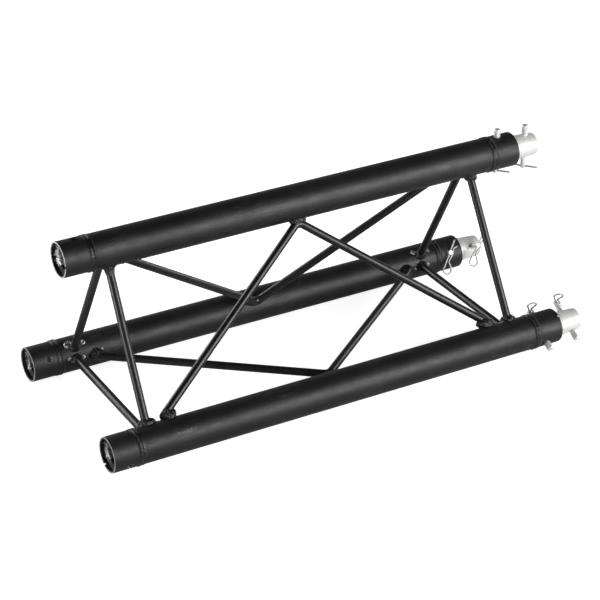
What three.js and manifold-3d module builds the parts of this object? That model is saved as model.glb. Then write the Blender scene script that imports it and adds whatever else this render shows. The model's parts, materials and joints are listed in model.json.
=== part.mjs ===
// Triangular lighting truss section, 0.5 m long, three 35 mm chords.
// Millimetres, +Z up, X along the chords. Origin: centre of the bounding box
// in X and Y, at the lowest point in Z. -X is the female (socket) end, +X the
// male (coupler) end. The apex chord is "top", +Y is "rear", -Y is "front".
import * as THREE from 'three';
import { mergeVertices } from 'three/addons/utils/BufferGeometryUtils.js';
import Module from 'manifold-3d';

const wasm = await Module();
wasm.setup();

// ---------------------------------------------------------------- dimensions
const SECTION_L = 500;        // tube end to tube end, between the two joint planes
const SPACING = 185;          // chord centre to chord centre
const GAP = 0.3;              // assembly gap between touching pieces
const WELD_GAP = 0.2;         // gap between a weld and the metal under it

const TUBE_R = 17.5;          // 35 mm chord tube
const TUBE_IR = 15.9;         // 1.6 mm wall
const SEAM_HALF = 0.4;        // half the gap between sleeve shoulder and tube
const BEAD_R = 18.4;          // crest of the circumferential weld
const BEAD_HALF = 3.3;
const BEAD_CREST_HALF = 1.8;
const BEAD_AT = 29;           // from each joint plane

const COUPLER_HALF = 28;      // coupler reach each side of the joint plane
const COUPLER_R = 12.6;
const COUPLER_END_R = 11.3;
const COUPLER_LAND_HALF = 4;  // straight middle part
const COUPLER_CHAMFER = { radial: 0.8, axial: 0.9 };

const RIM_IR = 16.1;          // sleeve rim
const SPIGOT_R = TUBE_IR - GAP;
const SPIGOT_IR = 9.5;
const SPIGOT_END = 46;        // from the joint plane
const NOTCH = { radial: 6, axial: 4.4, width: 2 };

const PIN_AT = 17;            // pin axis to joint plane
const PIN_L = 48;
const PIN_BIG_R = 3.45;
const PIN_SMALL_R = 2.45;
const PIN_CHAMFER = { radial: 0.35, axial: 0.5 };
const BORE_CLEARANCE = 0.22;  // on the pin's radius
const BORE_OVERRUN = 8;       // bore cutter past each pin end

const WIRE_R = 0.85;          // 1.7 mm spring wire
const LEG_TIP = 15.3;         // clip's straight leg past the pin axis
const CLIP_HOLE_AT = 2.3;     // cross hole to the pin's small end
const CLIP_HOLE_R = WIRE_R + 0.3;
const BUMP_RISE = 3.66;       // bent leg over the pin, for an untilted clip
const BUMP_CLEARANCE = 0.04;

const ROD_R = 4;              // 8 mm solid brace rod
const BEND_R = 8;             // centre-line radius of the V brace bend
const BEND_STEPS = 6;
const POST_REACH = 17;        // post ends are placed this far from the chord axis
const FOOT_REACH = 20.5;      // V feet are placed this far from the chord axis
const FOOT_RUN = 0.055;       // and run on by this share of the leg, into the chord
const FILLET_R = 5.7;         // brace-end fillet weld, at the chord
const FILLET_BACK = 9;        // its length inside the chord, before it is cut back
const POOL = { halfLength: 10.5, halfDepth: 4.6, halfWidth: 4.8, sink: 0.6 };

const LATHE_SEGMENTS = 24;
const TUBE_SEGMENTS = 36;
const PIN_SEGMENTS = 16;
const ROD_SEGMENTS = 12;

const FEMALE_X = -(SECTION_L + COUPLER_HALF) / 2;  // joint planes
const MALE_X = FEMALE_X + SECTION_L;
const TRUSS_H = SPACING * Math.sqrt(3) / 2;        // lower chord axes to top chord axis
const X = new THREE.Vector3(1, 0, 0);

// Pins of the male end; head is the head's height above the chord axis
const pins = {
  inner: { x: MALE_X - PIN_AT, head: 25.5 },       // through sleeve and coupler
  outer: { x: MALE_X + PIN_AT, head: 23.0 },       // through the bare coupler
};

// Clip angles in degrees: leg from the chord's axis, tilt of the loop about the leg
const centroid = new THREE.Vector3(0, 0, BEAD_R + TRUSS_H / 3);
const chords = {
  top: {
    axis: new THREE.Vector3(0, 0, BEAD_R + TRUSS_H),
    clips: { inner: { leg: 47, tilt: 30 }, outer: { leg: 47, tilt: 30 } },
  },
  rear: {
    axis: new THREE.Vector3(0, SPACING / 2, BEAD_R),
    clips: { inner: { leg: 51.5, tilt: 0 }, outer: { leg: 46, tilt: 0 } },
  },
  front: {
    axis: new THREE.Vector3(0, -SPACING / 2, BEAD_R),
    clips: { inner: { leg: 61, tilt: -10 }, outer: { leg: 61, tilt: -22 } },
  },
};
for (const chord of Object.values(chords)) {
  chord.out = chord.axis.clone().sub(centroid).normalize();   // away from the truss centre
  chord.side = new THREE.Vector3().crossVectors(X, chord.out);
}

// Braces of each face: two end posts and one rod bent into a V. The V's feet land on
// chord "from" and its bend lies against chord "to". A post is given by its ends at
// "from" and at "to", each [distance from the female joint plane, inset]; inset is how
// far the rod sits inside the plane through the two chord axes.
const faces = {
  front: {
    from: 'front',
    to: 'top',
    posts: { female: [[45.3, 1.9], [47.8, 3]], male: [[450.8, 1.9], [448.2, 3]] },
    vee: { feetAt: [64.5, 427.3], footInset: 2.9, bendAt: 248, bendInset: 2.5 },
  },
  rear: {
    from: 'top',
    to: 'rear',
    posts: { female: [[47.5, -0.8], [45.9, 3.1]], male: [[447.1, -0.8], [449.2, 3.1]] },
    vee: { feetAt: [62.8, 425.3], footInset: -2.6, bendAt: 247.2, bendInset: 6.9 },
  },
  bottom: {
    from: 'rear',
    to: 'front',
    posts: { female: [[44.8, 2.7], [45.6, 2.5]], male: [[447.6, 2.7], [449.7, 2.5]] },
    vee: { feetAt: [65.5, 429.3], footInset: 2.6, bendAt: 246.6, bendInset: 5.4 },
  },
};

// ----------------------------------------------------------------- materials
const standard = (settings) => new THREE.MeshStandardMaterial(settings);
const blackCoat = () => standard({ color: 0x1b1c1d, roughness: 0.62, metalness: 0 });
const coatedWeld = () => standard({ color: 0x202122, roughness: 0.42, metalness: 0 });
const aluminium = () => standard({ color: 0xcfcfca, roughness: 0.42, metalness: 1 });
const steel = () => standard({ color: 0xb9bbbc, roughness: 0.32, metalness: 1 });
const zinc = () => standard({ color: 0xc4c6c8, roughness: 0.28, metalness: 1 });

// ------------------------------------------------------------ solids, meshes
// Welds a geometry's vertices, drops collapsed triangles and turns its faces outwards
function solidOf(geometry) {
  const bare = geometry.clone();
  bare.deleteAttribute('normal');
  bare.deleteAttribute('uv');
  const merged = mergeVertices(bare, 1e-4);
  const positions = merged.attributes.position.array;
  const source = merged.index.array;
  const vertex = (k) => new THREE.Vector3().fromArray(positions, 3 * k);
  const triangles = [];
  let volume = 0;
  for (let i = 0; i < source.length; i += 3) {
    const [a, b, c] = [source[i], source[i + 1], source[i + 2]];
    if (a === b || b === c || c === a) continue;
    triangles.push(a, b, c);
    volume += vertex(a).dot(vertex(b).cross(vertex(c))) / 6;
  }
  if (volume < 0) {
    for (let i = 0; i < triangles.length; i += 3) {
      [triangles[i + 1], triangles[i + 2]] = [triangles[i + 2], triangles[i + 1]];
    }
  }
  return new wasm.Manifold(new wasm.Mesh({
    numProp: 3,
    vertProperties: new Float32Array(positions),
    triVerts: new Uint32Array(triangles),
  }));
}

function geometryOf(solid) {
  const mesh = solid.getMesh();
  const geometry = new THREE.BufferGeometry();
  const positions = Array.from(mesh.vertProperties);
  geometry.setAttribute('position', new THREE.Float32BufferAttribute(positions, 3));
  geometry.setIndex(Array.from(mesh.triVerts));
  geometry.computeVertexNormals();
  return geometry;
}

const truss = new THREE.Group();
function addMesh(name, solid, material) {
  const mesh = new THREE.Mesh(geometryOf(solid), material);
  mesh.name = name;
  truss.add(mesh);
}

// Local y runs along "axis", local z along "up"
function placed(geometry, origin, axis, up) {
  const side = new THREE.Vector3().crossVectors(axis, up);
  const frame = new THREE.Matrix4().makeBasis(side, axis, up).setPosition(origin);
  return solidOf(geometry.applyMatrix4(frame));
}

// Solid of revolution; profile points are [radius, distance along the axis]
function turned(profile, origin, axis, up, segments = LATHE_SEGMENTS) {
  const points = profile.map(([radius, y]) => new THREE.Vector2(radius, y));
  return placed(new THREE.LatheGeometry(points, segments), origin, axis, up);
}

function subtractAll(solid, cutters) {
  return cutters.reduce((rest, cutter) => rest.subtract(cutter), solid);
}

function largestPart(solid) {
  return solid.decompose().sort((p, q) => q.volume() - p.volume())[0];
}

// Polyline as a curve, so that an extrusion puts one ring at each point
class PointCurve extends THREE.Curve {
  constructor(points) {
    super();
    this.points = points;
  }

  getPoint(t, target = new THREE.Vector3()) {
    const last = this.points.length - 1;
    const i = Math.min(Math.floor(t * last), last - 1);
    return target.lerpVectors(this.points[i], this.points[i + 1], t * last - i);
  }

  // mean direction of the segments that meet at the point
  getTangent(t, target = new THREE.Vector3()) {
    const last = this.points.length - 1;
    const k = Math.round(t * last);
    const direction = (i) => this.points[i + 1].clone().sub(this.points[i]).normalize();
    target.set(0, 0, 0);
    if (k > 0) target.add(direction(k - 1));
    if (k < last) target.add(direction(k));
    return target.normalize();
  }

  getUtoTmapping(u) {
    return u;
  }
}

function sweptRod(points, radius, sides) {
  const outline = Array.from({ length: sides }, (_, i) => {
    const angle = (2 * Math.PI * i) / sides;
    return new THREE.Vector2(radius * Math.cos(angle), radius * Math.sin(angle));
  });
  const shape = new THREE.Shape(outline);
  shape.closePath();
  return solidOf(new THREE.ExtrudeGeometry(shape, {
    steps: points.length - 1,
    extrudePath: new PointCurve(points),
    bevelEnabled: false,
    curveSegments: 1,
  }));
}

const axisPoint = (chord, x) => new THREE.Vector3(x, chord.axis.y, chord.axis.z);

// -------------------------------------------------------------------- chords
function chordTube(chord) {
  const start = BEAD_AT + SEAM_HALF;
  const end = SECTION_L - BEAD_AT - SEAM_HALF;
  const profile = [
    [TUBE_IR, start], [TUBE_R, start], [TUBE_R, end], [TUBE_IR, end], [TUBE_IR, start],
  ];
  return turned(profile, axisPoint(chord, FEMALE_X), X, chord.out, TUBE_SEGMENTS);
}

// Cutter for the tapered hole of a pin
function pinBore(chord, x, head) {
  const small = head - PIN_L;
  const smallR = PIN_SMALL_R + BORE_CLEARANCE;
  const bigR = PIN_BIG_R + BORE_CLEARANCE;
  const profile = [
    [0, small - BORE_OVERRUN], [smallR, small - BORE_OVERRUN],
    [smallR, small + PIN_CHAMFER.axial], [bigR, head - PIN_CHAMFER.axial],
    [bigR, head + BORE_OVERRUN], [0, head + BORE_OVERRUN],
  ];
  return turned(profile, axisPoint(chord, x), chord.out, X, PIN_SEGMENTS);
}

// Thin rim, shallow relief, conical receiver and a spigot inside the tube;
// distances run from the joint plane into the truss
const sleeveProfile = [
  [RIM_IR, 0], [TUBE_R, 0],
  [TUBE_R, BEAD_AT - SEAM_HALF], [SPIGOT_R, BEAD_AT - SEAM_HALF],
  [SPIGOT_R, SPIGOT_END], [SPIGOT_IR, SPIGOT_END],
  [SPIGOT_IR, 30.6], [COUPLER_END_R + 0.25, 30],
  [COUPLER_R + 0.15, 6.5], [RIM_IR, 4.5], [RIM_IR, 0],
];

// inward is +1 at the female end, -1 at the male end
function endSleeve(chord, jointX, inward) {
  const origin = axisPoint(chord, jointX);
  const axis = new THREE.Vector3(inward, 0, 0);
  // rim notch, a quarter turn from the pin hole
  const notch = new THREE.BoxGeometry(NOTCH.radial, NOTCH.axial, NOTCH.width);
  notch.translate(TUBE_R, 0, 0);
  return turned(sleeveProfile, origin, axis, chord.out)
    .subtract(pinBore(chord, jointX + inward * PIN_AT, pins.inner.head))
    .subtract(placed(notch, origin, axis, chord.out));
}

function ringWeld(chord, x) {
  const footR = TUBE_R + WELD_GAP;
  const profile = [
    [footR, -BEAD_HALF], [BEAD_R, -BEAD_CREST_HALF], [BEAD_R, BEAD_CREST_HALF],
    [footR, BEAD_HALF], [footR, -BEAD_HALF],
  ];
  return turned(profile, axisPoint(chord, x), X, chord.out);
}

// Double-ended cone, half inside the male sleeve
function conicalCoupler(chord) {
  const faceR = COUPLER_END_R - COUPLER_CHAMFER.radial;
  const coneEnd = COUPLER_HALF - COUPLER_CHAMFER.axial;
  const profile = [
    [0, -COUPLER_HALF], [faceR, -COUPLER_HALF], [COUPLER_END_R, -coneEnd],
    [COUPLER_R, -COUPLER_LAND_HALF], [COUPLER_R, COUPLER_LAND_HALF],
    [COUPLER_END_R, coneEnd], [faceR, COUPLER_HALF], [0, COUPLER_HALF],
  ];
  const bores = Object.values(pins).map(({ x, head }) => pinBore(chord, x, head));
  return subtractAll(turned(profile, axisPoint(chord, MALE_X), X, chord.out), bores);
}

// Position and directions of a clip: "leg" towards the tip of the straight leg,
// "across" towards the bent leg, "normal" square to the clip's plane
function clipFrame(chord, { x, head }, angles) {
  const legAngle = THREE.MathUtils.degToRad(angles.leg);
  const tilt = THREE.MathUtils.degToRad(angles.tilt);
  const leg = X.clone().multiplyScalar(Math.cos(legAngle))
    .addScaledVector(chord.side, Math.sin(legAngle));
  const across = X.clone().multiplyScalar(Math.sin(legAngle))
    .addScaledVector(chord.side, -Math.cos(legAngle))
    .multiplyScalar(Math.cos(tilt))
    .addScaledVector(chord.out, -Math.sin(tilt));
  const normal = new THREE.Vector3().crossVectors(leg, across);
  const hole = axisPoint(chord, x).addScaledVector(chord.out, head - PIN_L + CLIP_HOLE_AT);
  return { leg, across, normal, hole, tilt };
}

// Head outwards, cross-drilled near the small end for the clip
function taperPin(chord, { x, head }, frame) {
  const small = head - PIN_L;
  const { radial, axial } = PIN_CHAMFER;
  const profile = [
    [0, small], [PIN_SMALL_R - radial, small], [PIN_SMALL_R, small + axial],
    [PIN_BIG_R, head - axial], [PIN_BIG_R - radial, head], [0, head],
  ];
  const drill = new THREE.CylinderGeometry(CLIP_HOLE_R, CLIP_HOLE_R, 12, 10);
  return turned(profile, axisPoint(chord, x), chord.out, X, PIN_SEGMENTS)
    .subtract(placed(drill, frame.hole, frame.leg, frame.normal));
}

function rClip(frame) {
  const bump = BUMP_RISE / Math.cos(frame.tilt) + BUMP_CLEARANCE;
  const inSpace = (along, across) => frame.hole.clone()
    .addScaledVector(frame.leg, along)
    .addScaledVector(frame.across, across);
  // centre line after the straight leg: [along the leg, across towards the bent leg]
  const keys = [
    // loop
    [-17, -0.15], [-19.5, -0.3], [-21.7, 0.7], [-23.1, 3.2], [-22.9, 6.0], [-21.0, 8.1],
    [-18.2, 8.9], [-15.2, 7.9],
    // bent leg, stepping over the pin, and its flared tip
    [-12.2, 5.0], [-9.3, 2.5], [-6.2, 2.75], [-3.2, bump - 0.4], [0, bump],
    [2.9, bump - 0.55], [4.9, 2.5], [7.2, 3.2], [10, 5.2],
  ];
  const points = keys.map(([along, across]) => new THREE.Vector3(along, across, 0));
  const curve = new THREE.CatmullRomCurve3(points, false, 'centripetal');
  const bent = curve.getPoints(34).map((p) => inSpace(p.x, p.y));
  return sweptRod([inSpace(LEG_TIP, 0), ...bent], WIRE_R, 6);
}

function buildChord(name, chord) {
  addMesh(`chord_tube_${name}`, chordTube(chord), blackCoat());
  addMesh(`end_sleeve_female_${name}`, endSleeve(chord, FEMALE_X, 1), blackCoat());
  addMesh(`end_sleeve_male_${name}`, endSleeve(chord, MALE_X, -1), blackCoat());
  addMesh(`ring_weld_female_${name}`, ringWeld(chord, FEMALE_X + BEAD_AT), coatedWeld());
  addMesh(`ring_weld_male_${name}`, ringWeld(chord, MALE_X - BEAD_AT), coatedWeld());
  addMesh(`conical_coupler_${name}`, conicalCoupler(chord), aluminium());
  for (const [place, pin] of Object.entries(pins)) {
    const frame = clipFrame(chord, pin, chord.clips[place]);
    addMesh(`taper_pin_${place}_${name}`, taperPin(chord, pin, frame), steel());
    addMesh(`r_clip_${place}_${name}`, rClip(frame), zinc());
  }
}

// -------------------------------------------------------------------- braces
// Chord cylinder with "gap" added to its radius, to fish-mouth the rods and fillets
function chordCutter(chord, gap) {
  const radius = TUBE_R + gap;
  const cylinder = new THREE.CylinderGeometry(radius, radius, SECTION_L + 20, TUBE_SEGMENTS);
  cylinder.rotateZ(Math.PI / 2);
  cylinder.translate(FEMALE_X + SECTION_L / 2, chord.axis.y, chord.axis.z);
  return solidOf(cylinder);
}

// The direction square to a rod that leans most towards +X
const squareTo = (direction) => X.clone().addScaledVector(direction, -direction.x).normalize();

const directionTo = (start, end) => end.clone().sub(start).normalize();

// Where the line from start along direction comes out of a chord
function exitPoint(start, direction, chord) {
  const offset = start.clone().sub(chord.axis).setX(0);
  const slope = direction.clone().setX(0);
  const a = slope.dot(slope);
  const b = 2 * offset.dot(slope);
  const c = offset.dot(offset) - TUBE_R ** 2;
  const distance = (-b + Math.sqrt(b * b - 4 * a * c)) / (2 * a);
  return start.clone().addScaledVector(direction, distance);
}

// Fillet round a rod end, cut back to the chord; the part on the rod's side is kept
function filletWeld(origin, direction, chord, keepOuts = []) {
  const boreR = ROD_R + WELD_GAP;
  const profile = [
    [boreR, -FILLET_BACK], [FILLET_R, -FILLET_BACK], [FILLET_R, 1.2],
    [ROD_R + 0.65, 4.2], [boreR, 4.4], [boreR, -FILLET_BACK],
  ];
  const blank = turned(profile, origin, direction, squareTo(direction), ROD_SEGMENTS);
  const distance = (part) => {
    const { min, max } = part.boundingBox();
    const middle = new THREE.Vector3(...min).add(new THREE.Vector3(...max)).multiplyScalar(0.5);
    return middle.sub(origin).dot(direction);
  };
  return subtractAll(blank, [chordCutter(chord, WELD_GAP), ...keepOuts])
    .decompose()
    .sort((p, q) => distance(q) - distance(p))[0];
}

// Space taken by a post and its weld, which the V's foot welds are cut clear of
function postKeepOut(origin, direction) {
  const weldR = FILLET_R + GAP;
  const rodR = ROD_R + GAP;
  const profile = [
    [0, -FILLET_BACK], [weldR, -FILLET_BACK], [weldR, 1.4],
    [ROD_R + 1, 4.6], [rodR, 4.8], [rodR, 30], [0, 30],
  ];
  return turned(profile, origin, direction, squareTo(direction), ROD_SEGMENTS);
}

// Point of a face: distance from the female joint plane, distance from the "from"
// chord's axis towards the "to" chord, and inset towards the truss centre
function facePlacer(from, to) {
  const across = directionTo(from.axis, to.axis);
  const inward = directionTo(from.axis.clone().lerp(to.axis, 0.5), centroid);
  return (along, reach, inset) => axisPoint(from, FEMALE_X + along)
    .addScaledVector(across, reach)
    .addScaledVector(inward, inset);
}

function postRod(start, end, from, to) {
  const rod = new THREE.CylinderGeometry(ROD_R, ROD_R, SPACING - 20, ROD_SEGMENTS);
  const middle = start.clone().lerp(end, 0.5);
  const direction = directionTo(start, end);
  const cutters = [chordCutter(from, GAP), chordCutter(to, GAP)];
  return subtractAll(placed(rod, middle, direction, squareTo(direction)), cutters);
}

// Reach of the V's axis at the top of its bend, where the rod meets the "to" chord
const bendReach = ({ bendInset }) => (
  SPACING - Math.sqrt((TUBE_R + ROD_R + GAP) ** 2 - bendInset ** 2)
);

// V centre line: foot, the points round the bend, foot
function veePath(vee, point) {
  const { feetAt, footInset, bendAt, bendInset } = vee;
  const centreReach = bendReach(vee) - BEND_R;
  // angle on the bend circle where the leg from a foot touches it
  const tangentAngle = (footAt) => {
    const dx = footAt - bendAt;
    const dy = FOOT_REACH - centreReach;
    return Math.atan2(dy, dx) + Math.sign(dx) * Math.acos(BEND_R / Math.hypot(dx, dy));
  };
  // a full turn on, so that the bend runs over the top of its circle
  const startAngle = tangentAngle(feetAt[0]) + 2 * Math.PI;
  const endAngle = tangentAngle(feetAt[1]);
  const bend = [];
  for (let i = 0; i <= BEND_STEPS; i++) {
    const angle = startAngle + (endAngle - startAngle) * (i / BEND_STEPS);
    bend.push(point(
      bendAt + BEND_R * Math.cos(angle),
      centreReach + BEND_R * Math.sin(angle),
      bendInset,
    ));
  }
  const foot = (footAt, tangentPoint) => (
    point(footAt, FOOT_REACH, footInset).lerp(tangentPoint, -FOOT_RUN)
  );
  return [foot(feetAt[0], bend[0]), ...bend, foot(feetAt[1], bend[BEND_STEPS])];
}

// Weld pool between the bend and its chord
function bendWeld(path, bendTop, chord) {
  const touch = chord.axis.clone().sub(bendTop).setX(0).normalize();
  const pool = new THREE.SphereGeometry(1, 14, 10);
  pool.applyMatrix4(new THREE.Matrix4().makeBasis(
    X.clone().multiplyScalar(POOL.halfLength),
    touch.clone().multiplyScalar(POOL.halfDepth),
    new THREE.Vector3().crossVectors(X, touch).multiplyScalar(POOL.halfWidth),
  ).setPosition(bendTop.clone().addScaledVector(touch, ROD_R - POOL.sink)));
  return largestPart(solidOf(pool)
    .subtract(sweptRod(path, ROD_R + WELD_GAP, ROD_SEGMENTS))
    .subtract(chordCutter(chord, WELD_GAP)));
}

function buildFace(name, face) {
  const from = chords[face.from];
  const to = chords[face.to];
  const point = facePlacer(from, to);

  const keepOuts = [];
  for (const [end, [[fromAt, fromInset], [toAt, toInset]]] of Object.entries(face.posts)) {
    const start = point(fromAt, POST_REACH, fromInset);
    const finish = point(toAt, SPACING - POST_REACH, toInset);
    const direction = directionTo(start, finish);
    const back = direction.clone().negate();
    const weldFrom = exitPoint(start, direction, from);
    const weldTo = exitPoint(finish, back, to);
    const weldName = `weld_post_${end}_${name}_at`;
    addMesh(`end_post_${end}_${name}`, postRod(start, finish, from, to), blackCoat());
    addMesh(`${weldName}_${face.from}`, filletWeld(weldFrom, direction, from), coatedWeld());
    addMesh(`${weldName}_${face.to}`, filletWeld(weldTo, back, to), coatedWeld());
    keepOuts.push(postKeepOut(weldFrom, direction));
  }

  const path = veePath(face.vee, point);
  const rod = sweptRod(path, ROD_R, ROD_SEGMENTS).subtract(chordCutter(from, GAP));
  addMesh(`v_brace_${name}`, largestPart(rod), blackCoat());
  const legs = { female: [path[0], path[1]], male: [path.at(-1), path.at(-2)] };
  for (const [end, [foot, next]] of Object.entries(legs)) {
    const direction = directionTo(foot, next);
    const origin = exitPoint(foot, direction, from);
    addMesh(`weld_v_${end}_${name}`, filletWeld(origin, direction, from, keepOuts), coatedWeld());
  }
  const bendTop = point(face.vee.bendAt, bendReach(face.vee), face.vee.bendInset);
  addMesh(`weld_bend_${name}`, bendWeld(path, bendTop, to), coatedWeld());
}

// ------------------------------------------------------------------ assembly
for (const [name, chord] of Object.entries(chords)) buildChord(name, chord);
for (const [name, face] of Object.entries(faces)) buildFace(name, face);

export default truss;
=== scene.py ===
import json
import math

import bmesh
import bpy
import numpy as np
from mathutils import Matrix, Vector

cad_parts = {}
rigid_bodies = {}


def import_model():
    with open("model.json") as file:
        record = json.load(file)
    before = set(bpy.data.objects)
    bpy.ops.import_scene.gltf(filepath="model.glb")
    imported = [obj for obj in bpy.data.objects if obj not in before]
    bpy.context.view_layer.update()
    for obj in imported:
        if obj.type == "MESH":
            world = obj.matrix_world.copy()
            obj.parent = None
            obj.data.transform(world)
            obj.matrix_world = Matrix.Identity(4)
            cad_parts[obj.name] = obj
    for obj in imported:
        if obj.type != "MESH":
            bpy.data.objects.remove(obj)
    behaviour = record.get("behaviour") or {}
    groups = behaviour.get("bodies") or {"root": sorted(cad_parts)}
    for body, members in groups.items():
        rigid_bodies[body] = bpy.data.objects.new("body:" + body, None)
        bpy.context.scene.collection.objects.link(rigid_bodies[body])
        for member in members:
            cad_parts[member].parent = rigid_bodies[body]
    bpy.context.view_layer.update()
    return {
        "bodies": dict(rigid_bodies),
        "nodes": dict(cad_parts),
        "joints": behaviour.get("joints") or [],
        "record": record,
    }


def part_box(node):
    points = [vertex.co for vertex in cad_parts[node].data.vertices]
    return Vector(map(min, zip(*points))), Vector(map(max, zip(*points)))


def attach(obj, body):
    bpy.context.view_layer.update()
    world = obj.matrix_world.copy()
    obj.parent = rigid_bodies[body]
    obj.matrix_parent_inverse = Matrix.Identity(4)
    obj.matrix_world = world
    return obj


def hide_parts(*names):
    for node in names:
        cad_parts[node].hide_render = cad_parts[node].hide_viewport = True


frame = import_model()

MM = 0.001
X = np.array([1.0, 0.0, 0.0])


def unit(v):
    v = np.asarray(v, float)
    return v / np.linalg.norm(v)


def box(node):
    lo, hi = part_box(node)
    return np.array(lo) / MM, np.array(hi) / MM


# ------------------------------------------------------------------ dimensions
# all in millimetres; positions come from the frame, section shapes are listed here
TUBE_R, TUBE_IR = 17.5, 15.9
ROD_R, BEND_R = 4.0, 8.0
POST_T, FOOT_T = 17.0, 20.5
BEAD_AT = 29.0
PIN_L, PIN_BIG, PIN_SMALL = 48.0, 3.45, 2.45
CLIP_HOLE, WIRE_R, LEG_TIP = 2.3, 0.85, 15.3
COUPLER_HALF, COUPLER_R, COUPLER_END_R = 28.0, 12.6, 11.3

X0 = box("end_sleeve_female_top")[0][0]      # female joint plane
XR = box("end_sleeve_male_top")[1][0]        # male joint plane
XE = box("conical_coupler_top")[1][0]        # coupler ends
SPACING = box("chord_tube_rear")[0][1] - box("chord_tube_front")[0][1]

JOINT = {j["name"]: j for j in frame["joints"]}
CHORDS = {}
for c in ("top", "rear", "front"):
    lo, hi = box(f"chord_tube_{c}")
    mid = (lo + hi) / 2
    out = unit(JOINT[f"draw_pin_inner_{c}"]["axis"])
    CHORDS[c] = {"yz": mid[1:], "out": out, "side": np.cross(X, out)}
CENTRE = np.array([0, *np.mean([c["yz"] for c in CHORDS.values()], axis=0)])


def on_axis(c, x):
    return np.array([x, *CHORDS[c]["yz"]])


# ----------------------------------------------------------------------- noise
def _hash(ix, iy, iz, seed):
    h = (ix * 374761393 + iy * 668265263 + iz * 1274126177 + seed * 97463477) & 0xFFFFFFFF
    h = ((h ^ (h >> 13)) * 1274126177) & 0xFFFFFFFF
    h = ((h ^ (h >> 15)) * 668265263) & 0xFFFFFFFF
    h ^= h >> 16
    return (h & 0xFFFFFF) / 0xFFFFFF * 2 - 1


def noise(p, seed=0):
    """Smooth value noise from -1 to 1 at points p (n, 3)."""
    p = np.asarray(p, float)
    i = np.floor(p).astype(np.int64)
    f = p - i
    f = f * f * f * (f * (f * 6 - 15) + 10)
    r = 0
    for dx in (0, 1):
        for dy in (0, 1):
            for dz in (0, 1):
                w = ((f[..., 0] if dx else 1 - f[..., 0]) * (f[..., 1] if dy else 1 - f[..., 1])
                     * (f[..., 2] if dz else 1 - f[..., 2]))
                r = r + w * _hash(i[..., 0] + dx, i[..., 1] + dy, i[..., 2] + dz, seed)
    return r


def ring_noise(phi, turns, seed):
    """Periodic noise round a circle, about `turns` bumps."""
    k = turns / (2 * math.pi)
    return noise(np.stack([k * np.cos(phi), k * np.sin(phi), np.full_like(phi, seed * 3.7)], -1), seed)


# ------------------------------------------------------------- mesh from arrays
def grid_faces(rows, cols, wrap_rows, wrap_cols):
    r = np.arange(rows if wrap_rows else rows - 1)
    c = np.arange(cols if wrap_cols else cols - 1)
    R, C = np.meshgrid(r, c, indexing="ij")
    R2, C2 = (R + 1) % rows, (C + 1) % cols
    return np.stack([R * cols + C, R * cols + C2, R2 * cols + C2, R2 * cols + C], -1).reshape(-1, 4)


def join(*parts):
    verts, faces, off = [], [], 0
    for v, f in parts:
        verts.append(np.asarray(v, float))
        faces += [tuple(int(i) + off for i in q) for q in f]
        off += len(v)
    return np.concatenate(verts), faces


def subdivided(profile, step):
    """More points along the long straight runs of an open or closed profile."""
    out = []
    n = len(profile)
    for i in range(n):
        a, b = np.array(profile[i]), np.array(profile[(i + 1) % n])
        k = max(1, int(math.ceil(np.linalg.norm(b - a) / step)))
        out += [tuple(a + (b - a) * j / k) for j in range(k)]
    return out


def rounded(points, closed=True, n=4):
    """points are (s, r, f): each corner is rounded over a length f."""
    out = []
    m = len(points)
    for i, (s, r, f) in enumerate(points):
        p = np.array([s, r])
        if f <= 0 or (not closed and i in (0, m - 1)):
            out.append((s, r))
            continue
        a = np.array(points[(i - 1) % m][:2]) - p
        b = np.array(points[(i + 1) % m][:2]) - p
        a = p + unit(a) * f
        b = p + unit(b) * f
        for k in range(n + 1):
            t = k / n
            out.append(tuple((1 - t) ** 2 * a + 2 * t * (1 - t) * p + t * t * b))
    return out


def revolve(profile, origin, axis, up, seg=144, closed=True, radial=None):
    """Revolves (s, r) points about an axis. Open profiles start and end on the axis."""
    axis, up = unit(axis), unit(up)
    side = np.cross(axis, up)
    prof = np.array(profile, float)
    th = np.arange(seg) * 2 * math.pi / seg
    if not closed:
        caps = prof[[0, -1]]
        prof = prof[1:-1]
    S, T = np.meshgrid(prof[:, 0], th, indexing="ij")
    R = np.repeat(prof[:, 1][:, None], seg, 1)
    if radial is not None:
        R = radial(S, T, R)
    V = (origin + S[..., None] * axis + R[..., None] * (np.cos(T)[..., None] * up + np.sin(T)[..., None] * side)).reshape(-1, 3)
    F = [tuple(q) for q in grid_faces(len(prof), seg, closed, True)]
    if not closed:
        n = len(V)
        V = np.concatenate([V, origin + caps[:, 0][:, None] * axis])
        last = (len(prof) - 1) * seg
        for j in range(seg):
            k = (j + 1) % seg
            F.append((n, k, j))
            F.append((n + 1, last + j, last + k))
    return V, F


def frames(path):
    t = np.gradient(path, axis=0)
    t /= np.linalg.norm(t, axis=1)[:, None]
    n = np.zeros_like(path)
    seed = np.array([0, 0, 1.0]) if abs(t[0][2]) < 0.9 else np.array([0, 1.0, 0])
    n[0] = unit(seed - t[0] * seed.dot(t[0]))
    for i in range(1, len(path)):
        v = n[i - 1] - t[i] * n[i - 1].dot(t[i])
        n[i] = unit(v)
    return t, n, np.cross(t, n)


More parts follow.
